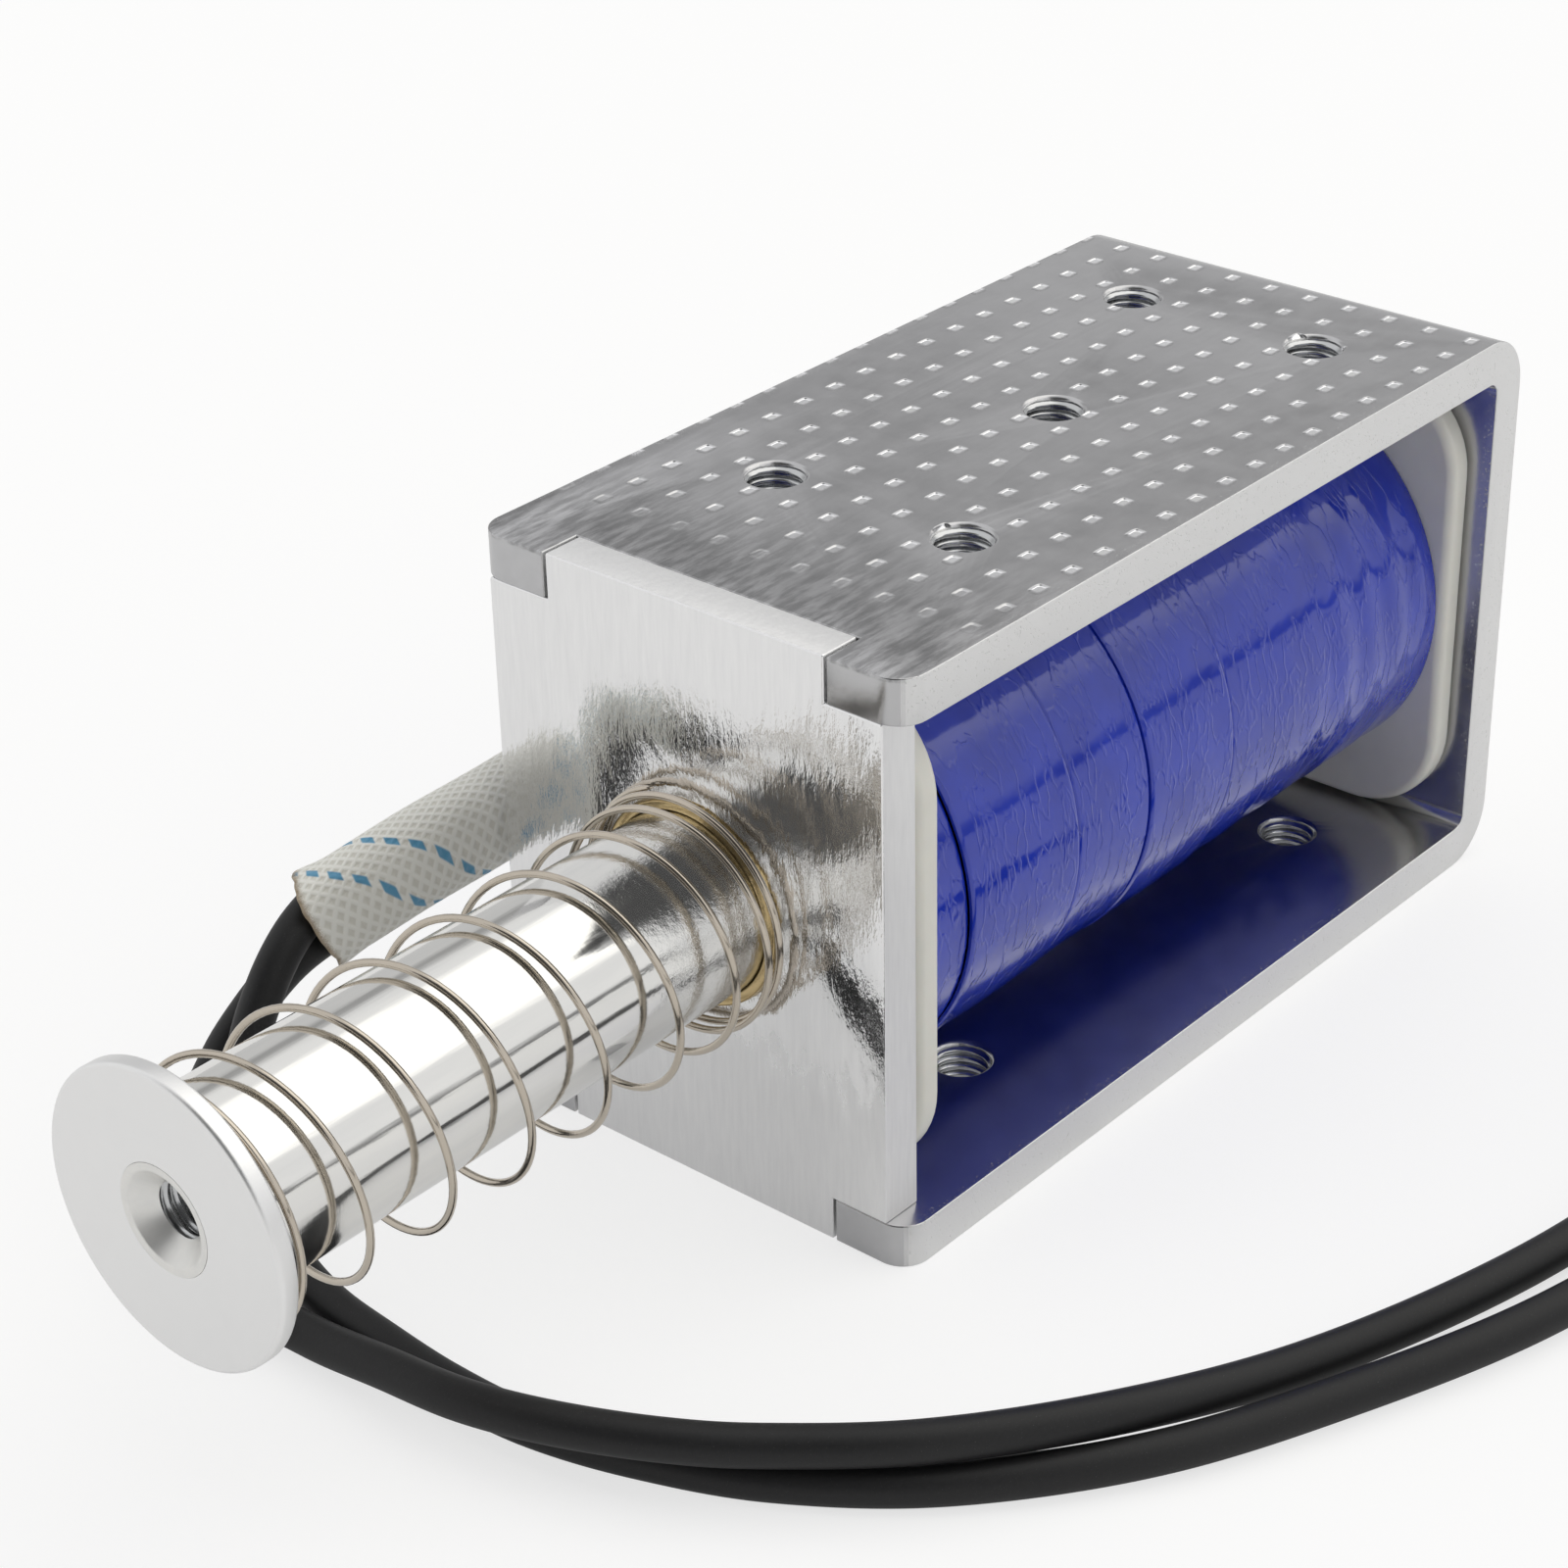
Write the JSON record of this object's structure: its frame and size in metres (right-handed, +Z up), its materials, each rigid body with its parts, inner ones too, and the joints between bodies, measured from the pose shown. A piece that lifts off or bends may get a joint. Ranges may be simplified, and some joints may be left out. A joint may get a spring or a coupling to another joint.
{
  "type": "push pull solenoid",
  "caption": "Open channel frame holding a taped coil, with a spring-loaded plunger through the front, a push rod at the rear and a pair of flying leads.",
  "frame": {"origin": "centre of the base's four-hole pattern, on the underside of the base", "axes": "+X along the plunger from its head to the rear wall, +Y to the side that the lead sleeve is on, +Z up"},
  "size_m": [0.1421, 0.0952, 0.0506],
  "materials": {
    "frame_steel": "zinc plated, fine rolled grain, dimpled outer faces",
    "plate_steel": "bright plated with an upright grain",
    "bobbin_plastic": "moulded, soft edges",
    "copper_wire": "enamelled winding wire",
    "blue_tape": "glossy polyester film, wrapped and creased",
    "brass_tube": "drawn, bright",
    "core_steel": "turned and plated",
    "plunger_steel": "ground and plated, nearly a mirror",
    "disc_steel": "plated, satin",
    "rod_steel": "ground, bright",
    "clip_steel": "spring steel, dark",
    "spring_wire": "bright drawn wire",
    "solder": "tinned",
    "woven_sleeve": "woven glass fibre with rows of blue threads",
    "lead_rubber": "matte silicone rubber",
    "tinned_wire": "tinned strands"
  },
  "bodies": {
    "housing": {"u_frame": "frame_steel", "front_plate": "plate_steel", "bobbin": "bobbin_plastic", "coil_winding": "copper_wire", "tape_band_1": "blue_tape", "tape_band_2": "blue_tape", "tape_band_3": "blue_tape", "tape_band_4": "blue_tape", "tape_band_5": "blue_tape", "guide_tube": "brass_tube", "fixed_core": "core_steel", "lead_tape": "blue_tape", "lead_joint_a": "solder", "lead_joint_b": "solder", "lead_sleeve": "woven_sleeve", "lead_a": "lead_rubber", "lead_b": "lead_rubber", "lead_tip_a": "tinned_wire", "lead_tip_b": "tinned_wire", "return_spring": "spring_wire"},
    "armature": {"plunger": "plunger_steel", "plunger_disc": "disc_steel", "push_rod": "rod_steel", "retaining_ring": "clip_steel"}
  },
  "joints": [
    {"name": "plunger_slide", "type": "slide", "parent": "housing", "child": "armature", "axis": [1, 0, 0], "range_m": [0, 0.035], "stiffness_N_per_m": 32, "springref_m": -0.01, "deforming": ["return_spring"]}
  ]
}
